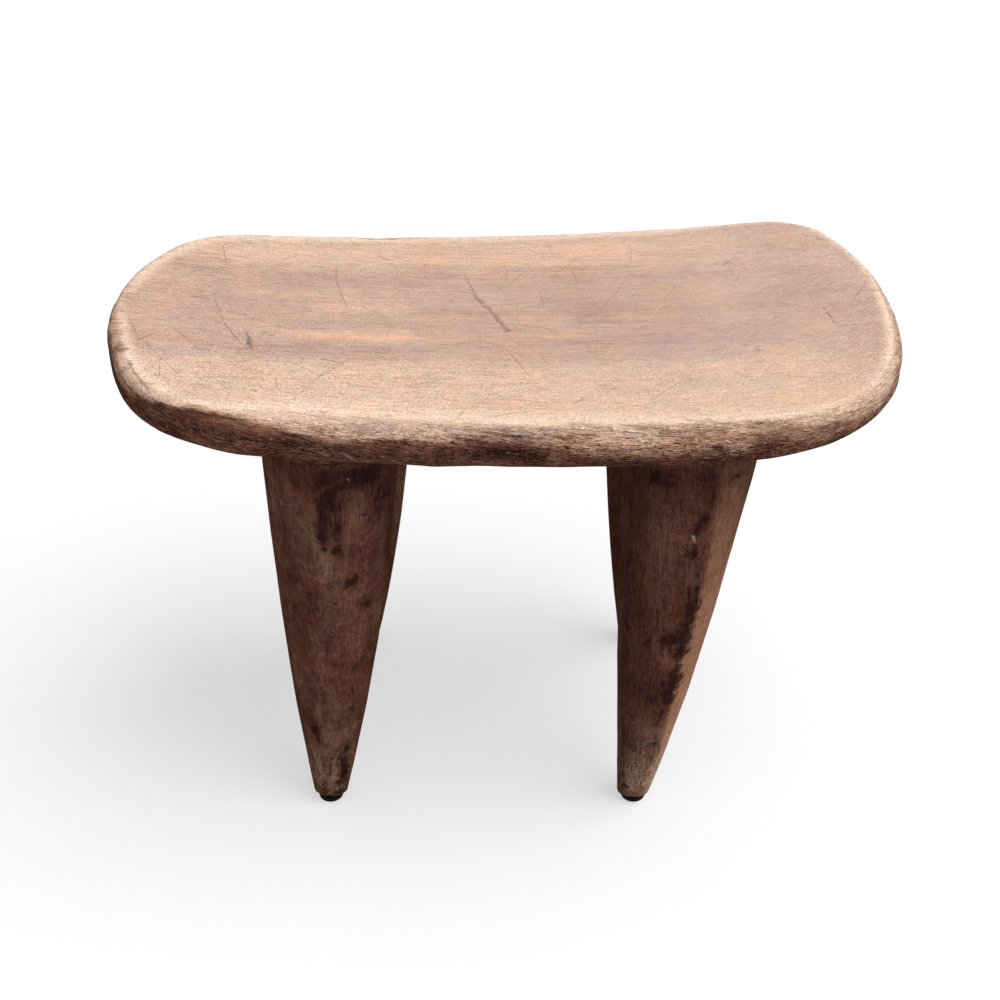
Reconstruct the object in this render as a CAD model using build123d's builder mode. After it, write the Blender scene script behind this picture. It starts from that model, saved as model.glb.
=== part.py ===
import os

from build123d import *

os.makedirs("parts", exist_ok=True)

# Senufo stool, carved from one log, on four nail-on glides. Millimetres.
# +X runs along the seat to the right, -Y is the front, +Z is up.
# The origin is on the floor under the middle of the seat.

# Seat: the height is at the middle of its dished top
seat_length = 580.0
seat_depth = 328.0
seat_height = 388.0
seat_thickness = 32.0
left_end_rise = 15.0
right_end_rise = 19.5
top_edge_radius = 9.0
bottom_edge_radius = 11.5

# Legs, round in section, a little swollen between foot and seat
leg_top_radius = 49.5
leg_middle_radius = 36.5
leg_foot_radius = 12.8
leg_foot_chamfer = 1.5
leg_spacing_along = 254.0
leg_spacing_across = 206.0
legs_right_of_middle = 7.5

# How far each hand-carved foot stands to the right of the spot under its leg's top
front_left_lean = -22.0
front_right_lean = -25.0
rear_left_lean = -9.5
rear_right_lean = -10.0

# Glides: plastic discs with a rounded lower edge and a flat ring on the floor
glide_radius = 10.0
glide_height = 5.0
glide_rim_height = 3.4
glide_contact_radius = 8.4

# Nails: each holds a glide, with its head sunk in the glide's underside
nail_head_radius = 2.8
nail_head_height = 1.2
nail_head_depth = 0.4
nail_head_clearance = 0.3
nail_shank_radius = 1.1
nail_shank_length = 18.0
nail_tip_length = 3.0
nail_clearance = 0.05

# Every cut runs this far past the face that it goes through
overrun = 2.0

# The seat's outline as seen from above, in shares of half its length and half its depth:
# where its sides would meet before rounding, and a point that each curved side passes
corner_shares = {
    "front_left": (-0.763, -0.920),
    "front_right": (0.852, -0.997),
    "rear_right": (0.852, 0.994),
    "rear_left": (-0.839, 0.873),
}
front_side_shares = (0.50, -1.0)
right_end_shares = (1.0, 0.0)
rear_side_shares = (0.60, 1.0)
left_end_shares = (-1.0, 0.04)

# Each corner's radius as a share of half the seat's depth
corner_radius_shares = {
    "front_left": 0.75,
    "front_right": 0.74,
    "rear_right": 0.36,
    "rear_left": 0.46,
}

half_length = seat_length / 2
half_depth = seat_depth / 2


def outline_point(shares):
    """Turn shares of the seat's half length and half depth into a place."""
    along_share, across_share = shares
    return (half_length * along_share, half_depth * across_share)


def dish_rise(along):
    """Return how much the dished top has risen above its middle at a place along the seat."""
    reach = along / half_length
    mean_rise = (left_end_rise + right_end_rise) / 2
    tilt = (right_end_rise - left_end_rise) / 2
    return tilt * reach + mean_rise * reach**2


def dish_points(height):
    """Return three places on a dished surface, from past the left end to past the right end."""
    reach = half_length + overrun
    return (-reach, height + dish_rise(-reach)), (0, height), (reach, height + dish_rise(reach))


# Tops of the legs, inside the seat's thickness, and the feet that stand on the glides
left_legs_at = legs_right_of_middle - leg_spacing_along / 2
right_legs_at = legs_right_of_middle + leg_spacing_along / 2
front_legs_at = -leg_spacing_across / 2
rear_legs_at = leg_spacing_across / 2
legs = {
    "front_left": (left_legs_at, front_legs_at, front_left_lean),
    "front_right": (right_legs_at, front_legs_at, front_right_lean),
    "rear_left": (left_legs_at, rear_legs_at, rear_left_lean),
    "rear_right": (right_legs_at, rear_legs_at, rear_right_lean),
}
feet = {}
for leg_name, (leg_along, leg_across, leg_lean) in legs.items():
    feet[leg_name] = (leg_along + leg_lean, leg_across)

# The nail's places above the floor
nail_seat_at = nail_head_depth + nail_head_height
nail_tip_at = nail_seat_at + nail_shank_length
nail_bore_radius = nail_shank_radius + nail_clearance

# Seat and legs, one carved block
with BuildPart() as stool_block:
    with BuildSketch(Plane.XY.offset(seat_height - seat_thickness - overrun)) as plan:
        front_left = outline_point(corner_shares["front_left"])
        front_right = outline_point(corner_shares["front_right"])
        rear_right = outline_point(corner_shares["rear_right"])
        rear_left = outline_point(corner_shares["rear_left"])
        with BuildLine():
            ThreePointArc(front_left, outline_point(front_side_shares), front_right)
            ThreePointArc(front_right, outline_point(right_end_shares), rear_right)
            ThreePointArc(rear_right, outline_point(rear_side_shares), rear_left)
            ThreePointArc(rear_left, outline_point(left_end_shares), front_left)
        make_face()
        for corner_name, radius_share in corner_radius_shares.items():
            corner_place = outline_point(corner_shares[corner_name])
            corner = plan.vertices().sort_by_distance(corner_place)[0]
            fillet(corner, radius=half_depth * radius_share)
    extrude(amount=seat_thickness + max(left_end_rise, right_end_rise) + 2 * overrun)

    # The dished top and the underside that follows it
    with BuildSketch(Plane.XZ):
        with BuildLine():
            top_left, top_middle, top_right = dish_points(seat_height)
            under_left, under_middle, under_right = dish_points(seat_height - seat_thickness)
            ThreePointArc(top_left, top_middle, top_right)
            Line(top_right, under_right)
            ThreePointArc(under_right, under_middle, under_left)
            Line(under_left, top_left)
        make_face()
    extrude(amount=half_depth + overrun, both=True, mode=Mode.INTERSECT)

    # The two dished faces are the largest: the top first, then the underside
    top_face = stool_block.faces().sort_by(SortBy.AREA)[-2:].sort_by(Axis.Z)[-1]
    fillet(top_face.edges(), radius=top_edge_radius)
    under_face = stool_block.faces().sort_by(SortBy.AREA)[-2:].sort_by(Axis.Z)[0]
    fillet(under_face.edges(), radius=bottom_edge_radius)

    # Each leg turns round its own leaning line, from below its foot to half way into the seat
    for leg_name, (leg_along, leg_across, leg_lean) in legs.items():
        leg_top_at = seat_height + dish_rise(leg_along) - seat_thickness / 2
        foot = Vector(*feet[leg_name], glide_height)
        leg_line = Vector(leg_along, leg_across, leg_top_at) - foot
        with BuildSketch(Plane(foot, x_dir=leg_line, z_dir=leg_line.cross(Axis.Y.direction))):
            with BuildLine():
                foot_edge = (-overrun, leg_foot_radius)
                leg_middle = (leg_line.length / 2, leg_middle_radius)
                leg_top = (leg_line.length, leg_top_radius)
                ThreePointArc(foot_edge, leg_middle, leg_top)
                Polyline(leg_top, (leg_line.length, 0), (-overrun, 0), foot_edge)
            make_face()
        revolve(axis=Axis(foot, leg_line))

    # Level feet with a worn edge, and the holes that the nails are driven into
    split(bisect_by=Plane.XY.offset(glide_height), keep=Keep.TOP)
    chamfer(stool_block.faces().group_by(Axis.Z)[0].edges(), length=leg_foot_chamfer)
    with BuildSketch(Plane.XY.offset(glide_height - overrun)):
        with Locations(*feet.values()):
            Circle(nail_bore_radius)
    nail_hole_end_at = nail_tip_at + nail_clearance
    extrude(amount=nail_hole_end_at - glide_height + overrun, mode=Mode.SUBTRACT)
stool_block.part.label = "stool_block"
export_step(stool_block.part, "parts/stool_block.step")


def make_glide(place):
    """Make a glide: a disc with a rounded edge, a sunk seat for the nail's head and a bore."""
    foot = Vector(*place, 0)
    rim_edge = (glide_radius, glide_height - glide_rim_height)
    contact_edge = (glide_contact_radius, 0)
    head_seat_radius = nail_head_radius + nail_head_clearance
    with BuildPart() as glide:
        with BuildSketch(Plane(foot, x_dir=Axis.X.direction, z_dir=-Axis.Y.direction)):
            with BuildLine():
                TangentArc(rim_edge, contact_edge, tangent=-Axis.Y.direction)
                Polyline(
                    contact_edge,
                    (head_seat_radius, 0),
                    (head_seat_radius, nail_seat_at),
                    (nail_bore_radius, nail_seat_at),
                    (nail_bore_radius, glide_height),
                    (glide_radius, glide_height),
                    rim_edge,
                )
            make_face()
        revolve(axis=Axis(foot, Axis.Z.direction))
    return glide.part


def make_nail(place):
    """Make a nail, point up: a flat head, a round shank and a conical tip."""
    foot = Vector(*place, 0)
    with BuildPart() as nail:
        with BuildSketch(Plane(foot, x_dir=Axis.X.direction, z_dir=-Axis.Y.direction)):
            with BuildLine():
                Polyline(
                    (0, nail_head_depth),
                    (nail_head_radius, nail_head_depth),
                    (nail_head_radius, nail_seat_at),
                    (nail_shank_radius, nail_seat_at),
                    (nail_shank_radius, nail_tip_at - nail_tip_length),
                    (0, nail_tip_at),
                    close=True,
                )
            make_face()
        revolve(axis=Axis(foot, Axis.Z.direction))
    return nail.part


# One glide and one nail under each foot
for foot_name, foot_place in feet.items():
    glide_part = make_glide(foot_place)
    glide_part.label = f"glide_{foot_name}"
    export_step(glide_part, f"parts/glide_{foot_name}.step")
    nail_part = make_nail(foot_place)
    nail_part.label = f"glide_nail_{foot_name}"
    export_step(nail_part, f"parts/glide_nail_{foot_name}.step")

overall = stool_block.part.bounding_box()
print("seat and legs", overall.min, overall.max)
print("volume in litres", stool_block.part.volume / 1e6)
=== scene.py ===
import math
from collections import namedtuple

import bmesh
import bpy
import numpy as np
from mathutils import Matrix, Vector
from mathutils.bvhtree import BVHTree


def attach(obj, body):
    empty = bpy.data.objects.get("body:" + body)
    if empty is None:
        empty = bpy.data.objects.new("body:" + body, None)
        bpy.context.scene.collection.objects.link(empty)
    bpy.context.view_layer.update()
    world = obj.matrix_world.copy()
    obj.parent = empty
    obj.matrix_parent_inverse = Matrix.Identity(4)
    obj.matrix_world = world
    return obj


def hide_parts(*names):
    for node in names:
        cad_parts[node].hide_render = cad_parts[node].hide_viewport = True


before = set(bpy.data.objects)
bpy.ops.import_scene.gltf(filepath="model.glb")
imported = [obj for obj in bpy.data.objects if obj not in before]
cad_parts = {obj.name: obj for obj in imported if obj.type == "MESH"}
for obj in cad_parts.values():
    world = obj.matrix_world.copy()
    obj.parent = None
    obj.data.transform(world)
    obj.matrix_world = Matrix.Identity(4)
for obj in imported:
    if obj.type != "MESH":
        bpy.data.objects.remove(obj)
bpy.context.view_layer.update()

# The shape code works in millimetres, Blender in metres
MM = 0.001

# The seat and legs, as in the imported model
HALF_LENGTH = 290
SEAT_HEIGHT = 388
SEAT_THICKNESS = 32
DISH_TILT = 2.25
DISH_RISE = 17.25
FOOT_LEVEL = 5
LEG_TOP_RADIUS = 49.5
LEG_FOOT_RADIUS = 13.3
LEG_BULGE = 5.35
COVE = 4.5

# A leg's foot and top, its bend half way up, the lean of its lower half, its swelling, its foot's bevel and
# the flats left by the adze: azimuth in degrees from +X towards +Y, and distance from the axis as a share of
# the leg's radius. The legs are front left, front right, rear left and rear right.
Leg = namedtuple("Leg", "foot top bend lean swell bevel flats")
FLATS = (
    ((-158, 0.985), (18, 0.975), (100, 0.962)),
    ((-24, 0.938), (-100, 0.99), (62, 0.958), (160, 0.975)),
    ((-35, 0.965), (70, 0.955), (150, 0.968)),
    ((25, 0.955), (110, 0.965), (-140, 0.97)),
)
LEGS = (
    Leg((-141.5, -103), (-119.5, -103), (2.5, 0), -0.8, 0.8, 5.6, FLATS[0]),
    Leg((109.5, -103), (135.5, -103), (1.5, 0), 0.9, -0.9, 4.2, FLATS[1]),
    Leg((-129, 103), (-119.5, 103), (3.4, -1), 0.8, 0.3, 4.2, FLATS[2]),
    Leg((124.5, 103), (134.5, 103), (-0.5, 1.5), 0, 0, 4.2, FLATS[3]),
)
FRONT_RIGHT = 1
FRONT_ENDS_AT = 20

# The nails' holes, and the plugs that close them before the block is meshed anew
HOLE_RADIUS = 1.15
HOLE_DEPTH = 15.65
HOLE_MIDDLE = 11.825
PLUG_RADIUS = 4
PLUG_LENGTH = 20

# The photograph's camera
CAMERA_AT = np.array((-1.03, -994.85, 897.23))
CAMERA_PITCH = math.radians(34)
FOCAL_PIXELS = 1487.93
PICTURE_MIDDLE = 500

rng = np.random.default_rng(1907)


def ease(low, high, value):
    """Return how far a value is from low to high, from 0 to 1 and softly."""
    t = np.clip((value - low) / (high - low), 0, 1)
    return t * t * (3 - 2 * t)


def smooth_max(a, b, width):
    h = np.maximum(width - np.abs(a - b), 0) / width
    return np.maximum(a, b) + h * h * width / 4


def smooth_min(a, b, width):
    return -smooth_max(-a, -b, width)


def hump(x, middle, half_width):
    return np.exp(-(((x - middle) / half_width) ** 2))


def unit(vectors):
    return vectors / np.maximum(np.linalg.norm(vectors, axis=1), 1e-9)[:, None]


def dish(x):
    """Return the height of the seat's top along its length."""
    reach = x / HALF_LENGTH
    return SEAT_HEIGHT + DISH_TILT * reach + DISH_RISE * reach**2


# Smooth random fields
LATTICE_CELLS = 64
LATTICES = [
    np.random.default_rng(seed).random((LATTICE_CELLS,) * 3).astype(np.float32) for seed in (11, 12, 13)
]


def field(points, size, which=0, octaves=1):
    """Return smooth random values from -1 to 1. size is a feature's size in mm, one for each axis."""
    total = np.zeros(len(points))
    weight = 0
    for octave in range(octaves):
        q = points / np.asarray(size, float) * 2**octave + 17.3 * (octave + 1)
        cell = np.floor(q).astype(int)
        part = q - cell
        part = part * part * (3 - 2 * part)
        value = np.zeros(len(points))
        for corner in np.ndindex(2, 2, 2):
            share = np.ones(len(points))
            for axis in range(3):
                share *= part[:, axis] if corner[axis] else 1 - part[:, axis]
            at = (cell + corner) % LATTICE_CELLS
            value += share * LATTICES[which][at[:, 0], at[:, 1], at[:, 2]]
        total += (value * 2 - 1) * 0.5**octave
        weight += 0.5**octave
    return total / weight


def gouges(u, v, width, length, seed):
    """Return from 0 to 1 how deep overlapping adze marks are at places u across and v along."""
    repeat = 97
    shifts = np.random.default_rng(seed).random((repeat, 2))
    column = np.floor(u / width).astype(int)
    deepest = np.zeros(len(u))
    for du in (-1, 0, 1):
        for dv in (-1, 0, 1):
            cell_u = column + du
            row = np.floor(v / length + 0.5 * (cell_u % 2)).astype(int) + dv
            shift = shifts[(cell_u * 31 + row * 17) % repeat]
            middle_u = (cell_u + 0.5 + 0.5 * (shift[:, 0] - 0.5)) * width
            middle_v = (row + 0.5 - 0.5 * (cell_u % 2) + 0.6 * (shift[:, 1] - 0.5)) * length
            reach = ((u - middle_u) / (0.85 * width)) ** 2 + ((v - middle_v) / (0.85 * length)) ** 2
            deepest = np.maximum(deepest, 1 - reach)
    return deepest


def read_points(mesh):
    points = np.zeros(len(mesh.vertices) * 3, np.float32)
    mesh.vertices.foreach_get("co", points)
    return points.reshape(-1, 3).astype(float) / MM


# The seat's outline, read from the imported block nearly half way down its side
SIDE_LEVEL = 0.47
FIRST_GUESS = 250
OUTSIDE = 400
GRID_STEP = 2
GRID_REACH = (330, 210)
block_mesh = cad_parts["stool_block"].data
block_points = read_points(block_mesh)
block_tree = BVHTree.FromPolygons(
    [Vector(p) for p in block_points], [tuple(p.vertices) for p in block_mesh.polygons]
)


def read_outline(count=720):
    """Return the points where rays from outside meet the seat's side, the share SIDE_LEVEL down it."""
    outline = []
    for angle in np.linspace(0, 2 * math.pi, count, endpoint=False):
        toward = np.array((math.cos(angle), math.sin(angle)))
        reach = FIRST_GUESS
        for _ in range(3):
            height = dish(reach * toward[0]) - SIDE_LEVEL * SEAT_THICKNESS
            start = Vector((OUTSIDE * toward[0], OUTSIDE * toward[1], height))
            found = block_tree.ray_cast(start, Vector((-toward[0], -toward[1], 0)))[0]
            reach = math.hypot(found[0], found[1])
        outline.append(reach * toward)
    return np.array(outline)


def grid_outline(outline):
    """Return a grid of signed distances from the outline, negative inside."""
    xs, ys = (np.arange(-reach, reach + 0.1, GRID_STEP) for reach in GRID_REACH)
    gx, gy = np.meshgrid(xs, ys, indexing="ij")
    place = np.stack((gx.ravel(), gy.ravel()), axis=1)
    best = np.full(len(place), 1e9)
    for a, b in zip(outline, np.roll(outline, -1, axis=0)):
        along = b - a
        t = np.clip(((place - a) @ along) / (along @ along), 0, 1)
        off = place - a - t[:, None] * along
        best = np.minimum(best, (off**2).sum(axis=1))
    angle = np.arctan2(place[:, 1], place[:, 0]) % (2 * math.pi)
    angles = np.linspace(0, 2 * math.pi, len(outline) + 1)
    reach = np.linalg.norm(np.vstack((outline, outline[:1])), axis=1)
    inside = np.linalg.norm(place, axis=1) < np.interp(angle, angles, reach)
    return (np.sqrt(best) * np.where(inside, -1, 1)).reshape(gx.shape)


outline = read_outline()
outline_grid = grid_outline(outline)


def outline_gap(x, y):
    """Return the signed distance from the outline, read from its grid."""
    u = np.clip((x + GRID_REACH[0]) / GRID_STEP, 0, outline_grid.shape[0] - 1.001)
    v = np.clip((y + GRID_REACH[1]) / GRID_STEP, 0, outline_grid.shape[1] - 1.001)
    i, j = np.floor(u).astype(int), np.floor(v).astype(int)
    s, t = u - i, v - j
    return (
        outline_grid[i, j] * (1 - s) * (1 - t)
        + outline_grid[i + 1, j] * s * (1 - t)
        + outline_grid[i, j + 1] * (1 - s) * t
        + outline_grid[i + 1, j + 1] * s * t
    )


# The block's shape as distances to its surface, negative inside
def bevel_width(x, y):
    """Return how far the worn shoulder runs in from the side and down from the top."""
    front = ease(-20, -90, y)
    ends_at = (-290, -245, -195, -150, -60, 60, 160, 200, 230, 290)
    along_front = np.interp(x, ends_at, (5, 4, 4, 9, 12, 12, 11, 7.5, 4.8, 4.5))
    return front * along_front + (1 - front) * (5.2 + 0.5 * np.sin(x / 40))


def seat_gap(x, y, z):
    side = outline_gap(x, y)
    rear = ease(20, 120, y)
    roll = (0.9 - 0.5 * ease(150, 260, np.abs(x)) - 0.35 * rear) * ease(-34, -4, side)
    right_front = ease(180, 235, x) * ease(60, -40, y)
    roll = roll + 3.2 * right_front * ease(-15, 0, side)
    rear_dip = 0.4 * hump(x, -65, 60) * rear
    top_at = dish(x) - roll - rear_dip
    top = z - top_at
    hollows = -0.5 * hump(x, -145, 38) - 0.7 * hump(x, 90, 30) - 0.6 * hump(x, 155, 42)
    under_shift = ease(-60, -140, y) * hollows
    under = dish(x) - SEAT_THICKNESS + under_shift - z
    bevel = (side + top + bevel_width(x, y)) / math.sqrt(2)
    upper = smooth_max(smooth_max(side, top, 1.5), bevel, 2.4)
    radius = 11 - np.where(x < 0, 4.5, 2) * ease(190, 255, np.abs(x))
    lower = (
        np.hypot(np.maximum(side + radius, 0), np.maximum(under + radius, 0))
        + np.minimum(np.maximum(side + radius, under + radius), 0)
        - radius
    )
    return np.maximum(upper, lower)


def leg_gap(x, y, z, leg):
    top_level = dish(leg.top[0]) - SEAT_THICKNESS / 2
    t = np.clip((z - FOOT_LEVEL) / (top_level - FOOT_LEVEL), -0.05, 1.05)
    mid = 4 * t * (1 - t)
    low = 6.75 * t * (1 - t) ** 2
    off_x = x - (leg.foot[0] + (leg.top[0] - leg.foot[0]) * t + leg.bend[0] * mid + leg.lean * low)
    off_y = y - (leg.foot[1] + (leg.top[1] - leg.foot[1]) * t + leg.bend[1] * mid)
    radius = LEG_FOOT_RADIUS + (LEG_TOP_RADIUS - LEG_FOOT_RADIUS) * t + (LEG_BULGE + leg.swell) * mid
    square = 2 + 0.7 * ease(0.2, 0, t)
    gap = (np.abs(off_x) ** square + np.abs(off_y) ** square + 1e-9) ** (1 / square) - radius
    flat_fade = ease(0.95, 0.65, t)
    for azimuth, share in leg.flats:
        turn = math.radians(azimuth)
        reach = 1 - (1 - share) * flat_fade
        flat = off_x * math.cos(turn) + off_y * math.sin(turn) - radius * reach
        gap = smooth_max(gap, flat, 1.2)
    gap = gap * 0.994
    sole = FOOT_LEVEL - z
    outward = np.sign(leg.foot[1]) * off_y / radius
    bevel = leg.bevel * (0.25 + 0.75 * ease(0.1, 0.95, outward))
    gap = smooth_max(gap, 0.8 * gap + 0.6 * sole + bevel, 0.8)
    gap = smooth_max(gap, sole, 0.5)
    return np.maximum(gap, z - top_level)


def block_gap(points):
    x, y, z = points.T
    gap = seat_gap(x, y, z)
    for leg in LEGS:
        gap = smooth_min(gap, leg_gap(x, y, z, leg), COVE)
    return gap


def slope(points, step=0.25):
    """Return the direction in which the distance grows, and the distance."""
    here = block_gap(points)
    parts = []
    for axis in range(3):
        moved = points.copy()
        moved[:, axis] += step
        parts.append((block_gap(moved) - here) / step)
    return np.stack(parts, axis=1), here


def settle(points, rounds):
    """Move points on to the block's surface."""
    for _ in range(rounds):
        grad, gap = slope(points)
        size = np.maximum((grad**2).sum(axis=1), 0.2)
        move = np.clip(gap / size, -3, 3)
        points = points - grad * move[:, None]
    return points


def seen_at(pixels):
    """Return the places on the block that the photograph's camera sees at these pixels."""
    across, down = (np.asarray(pixels, float).T - PICTURE_MIDDLE) / FOCAL_PIXELS
    ahead = np.array((0, math.cos(CAMERA_PITCH), -math.sin(CAMERA_PITCH)))
    upward = np.array((0, math.sin(CAMERA_PITCH), math.cos(CAMERA_PITCH)))
    rays = unit(ahead + across[:, None] * np.array((1, 0, 0)) - down[:, None] * upward)
    nearest, farthest, close_enough = 800, 1700, 0.02
    gone = np.full(len(rays), nearest)
    for _ in range(90):
        gap = block_gap(CAMERA_AT + rays * gone[:, None])
        gone = np.minimum(gone + np.where(np.abs(gap) < close_enough, 0, gap * 0.9), farthest)
    return CAMERA_AT + rays * gone[:, None]


# The detailed block: its mesh's spacing, and the angle from which an edge of it is sharp
VOXEL = 2.86
SHARP_FROM = math.radians(58)


def link(obj):
    bpy.context.scene.collection.objects.link(obj)
    return obj


def add_pegs(bm, segments, radius, length, middle):
    """Add an upright peg in each foot, its middle at this height."""
    for leg in LEGS:
        bmesh.ops.create_cone(
            bm, cap_ends=True, segments=segments, radius1=radius * MM, radius2=radius * MM, depth=length * MM,
            matrix=Matrix.Translation((leg.foot[0] * MM, leg.foot[1] * MM, middle * MM)),
        )


def object_from(bm, name):
    mesh = bpy.data.meshes.new(name)
    bm.to_mesh(mesh)
    bm.free()
    return link(bpy.data.objects.new(name, mesh))


def modified(obj):
    """Return the mesh that an object's modifiers make."""
    graph = bpy.context.evaluated_depsgraph_get()
    return bpy.data.meshes.new_from_object(obj.evaluated_get(graph))


def draft_block():
    """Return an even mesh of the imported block, with its nail holes filled."""
    bm = bmesh.new()
    bm.from_mesh(block_mesh)
    add_pegs(bm, 24, PLUG_RADIUS, PLUG_LENGTH, FOOT_LEVEL + PLUG_LENGTH / 2)
    draft = object_from(bm, "draft")
    remesh = draft.modifiers.new("even", "REMESH")
    remesh.mode = "VOXEL"
    remesh.voxel_size = VOXEL * MM
    even = modified(draft)
    bpy.data.objects.remove(draft)
    return even


def bore_nail_holes(carved):
    """Cut the holes of the glides' nails, and return the finished mesh."""
    bm = bmesh.new()
    add_pegs(bm, 16, HOLE_RADIUS, HOLE_DEPTH, HOLE_MIDDLE)
    cutter = object_from(bm, "nail_holes")
    cut = carved.modifiers.new("nail_holes", "BOOLEAN")
    cut.operation = "DIFFERENCE"
    cut.solver = "MANIFOLD"
    cut.object = cutter
    bored = modified(carved)
    carved.modifiers.clear()
    bpy.data.objects.remove(cutter)
    return bored


def relax(mesh, points, rounds):
    """Even out the points, then put them back on the surface."""
    edges = np.zeros(len(mesh.edges) * 2, int)
    mesh.edges.foreach_get("vertices", edges)
    edges = edges.reshape(-1, 2)
    count = np.bincount(edges.ravel(), minlength=len(points))
    for _ in range(rounds):
        total = np.zeros_like(points)
        for axis in range(3):
            total[:, axis] = np.bincount(edges[:, 0], points[edges[:, 1], axis], len(points))
            total[:, axis] += np.bincount(edges[:, 1], points[edges[:, 0], axis], len(points))
        points = 0.4 * points + 0.6 * total / count[:, None]
    return settle(points, 3)


def regions(points, normals):
    """Return how much each point belongs to the top, shoulder and side, underside and legs."""
    x, _, z = points.T
    leg = ease(SEAT_THICKNESS + 1, SEAT_THICKNESS + 8, dish(x) - z)
    top = ease(0.75, 0.95, normals[:, 2]) * (1 - leg)
    under = ease(-0.55, -0.9, normals[:, 2]) * (1 - leg)
    side = np.clip(1 - top - under - leg, 0, 1)
    return top, side, under, leg


def nearest_leg(points):
    """Return each point's angle round its nearest leg's axis and that leg's number."""
    x, y, z = points.T
    angle = np.zeros(len(points))
    best = np.full(len(points), 1e9)
    number = np.zeros(len(points), int)
    for index, leg in enumerate(LEGS):
        t = np.clip((z - FOOT_LEVEL) / (SEAT_HEIGHT - SEAT_THICKNESS / 2 - FOOT_LEVEL), 0, 1)
        off_x = x - (leg.foot[0] + (leg.top[0] - leg.foot[0]) * t)
        off_y = y - leg.foot[1]
        away = np.hypot(off_x, off_y)
        closer = away < best
        angle = np.where(closer, np.arctan2(off_y, off_x), angle)
        number = np.where(closer, index, number)
        best = np.minimum(best, away)
    return angle, number


def pick(weight, count):
    """Return the numbers of random points, drawn by weight."""
    return rng.choice(len(weight), size=count, replace=False, p=weight / weight.sum())


# Dents and chips that show in the photograph: their pixel, and their radius and depth in mm
SEEN_DENTS = (
    (251, 342, 4, 0.6), (221, 292, 4.5, 0.5), (556, 455, 5, 1.6), (486, 452, 11, 1.3), (470, 440, 7, 0.8),
    (225, 413, 6, 0.8), (272, 430, 8, 0.9), (640, 436, 8, 0.7), (705, 436, 9, 0.9), (782, 437, 6, 1),
    (848, 409, 6, 1.1), (878, 288, 6, 1), (116, 344, 6, 0.9), (122, 372, 5, 0.9), (693, 539, 2.6, 0.9),
    (652, 765, 4, 0.8), (330, 470, 6, 0.6), (352, 576, 5, 0.6), (372, 596, 6, 0.5), (640, 700, 5, 0.6),
    (655, 545, 5, 0.5), (845, 337, 3, 0.4), (182, 446, 5, 0.9), (600, 458, 5, 0.8),
)


def carve_depth(points, normals):
    """Return how deep the carving and wear go below the smooth shape, in mm."""
    x, y, z = points.T
    top, side, under, leg = regions(points, normals)
    angle, number = nearest_leg(points)
    depth = top * (0.25 + 0.16 * field(points, (80, 46, 90), 0, 2) + 0.14 * field(points, (170, 15, 90), 1))
    depth += side * (
        0.35 + 0.42 * field(points, (60, 60, 12), 1, 2) + 0.28 * field(points, (24, 24, 9), 2) + 0.12 * top
    )
    adzed = gouges(y + 3 * field(points, (70, 70, 70), 2), x, 21, 46, 5)
    depth += under * (0.9 - 1.3 * (1 - adzed) + 0.3 * field(points, (40, 26, 40), 0))
    turned = angle * 34 + number * 400 + 2 * field(points, (40, 40, 60), 1)
    peeled = gouges(turned, z, 15, 62, 9)
    depth += leg * (0.5 * peeled - 0.4 + 0.3 * field(points, (22, 22, 70), 2, 2)) * ease(6, 30, z)

    dents = [(centre, *row[2:]) for centre, row in zip(seen_at([row[:2] for row in SEEN_DENTS]), SEEN_DENTS)]
    rim = np.exp(-(((dish(x) - z) - 9) / 7) ** 2) * (normals[:, 2] < 0.9) + 0.15 * side
    low_rim = under * ease(-26, -6, outline_gap(x, y)) + 0.4 * leg + 0.02
    for weight, count, size, deep in (
        (rim + 1e-6, 46, 5, 0.55),
        (low_rim, 46, 6, 0.7),
        (top + 1e-6, 26, 5, 0.22),
    ):
        centres = points[pick(weight, count)]
        sizes = size * rng.uniform(0.5, 1.6, count)
        dents += zip(centres, sizes, deep * rng.uniform(0.4, 1.5, count))
    for centre, size, deep in dents:
        away = points - centre
        away[:, 0] *= 0.7
        depth += deep * np.exp(-((away**2).sum(axis=1)) / size**2)
    return depth


even_mesh = draft_block()
even_points = settle(read_points(even_mesh), 4)
for _ in range(2):
    even_points = relax(even_mesh, even_points, 2)
even_normals = unit(slope(even_points)[0])
carved_points = even_points - even_normals * carve_depth(even_points, even_normals)[:, None]
carved_points = np.clip(carved_points, block_points.min(axis=0), block_points.max(axis=0))
even_mesh.vertices.foreach_set("co", (carved_points * MM).astype(np.float32).ravel())
even_mesh.update()
carved = link(bpy.data.objects.new("carved_block", even_mesh))
carved.data = bore_nail_holes(carved)
carved.data.name = "carved_block"
for polygon in carved.data.polygons:
    polygon.use_smooth = True
carved.data.set_sharp_from_angle(angle=SHARP_FROM)

# What each point of the block looks like, kept on the mesh for its material
points = read_points(carved.data)
normals = unit(slope(points)[0])
top, side, under, leg = regions(points, normals)
off_leg = 1 - leg
x, y, z = points.T
below = dish(x) - z
rim_gap = outline_gap(x, y)
warped = points + np.stack([4 * field(points, (13, 13, 13), which, 2) for which in range(3)], axis=1)


def keep(**named):
    """Keep values on the block's points, for its material to read by name."""
    for name, values in named.items():
        values = np.asarray(values, np.float32)
        kind, content = ("FLOAT_VECTOR", "vector") if values.ndim == 2 else ("FLOAT", "value")
        attribute = carved.data.attributes.new(name, kind, "POINT")
        attribute.data.foreach_set(content, values.ravel())


def spot(points, centre, along, across, on_seat):
    """Return a soft spot from 0 to 1, its length along the seat or down the leg."""
    sizes = np.array((along, across, across) if on_seat else (across, 1.6 * across, along))
    return np.exp(-(((points - centre) / sizes) ** 2).sum(axis=1))


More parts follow.
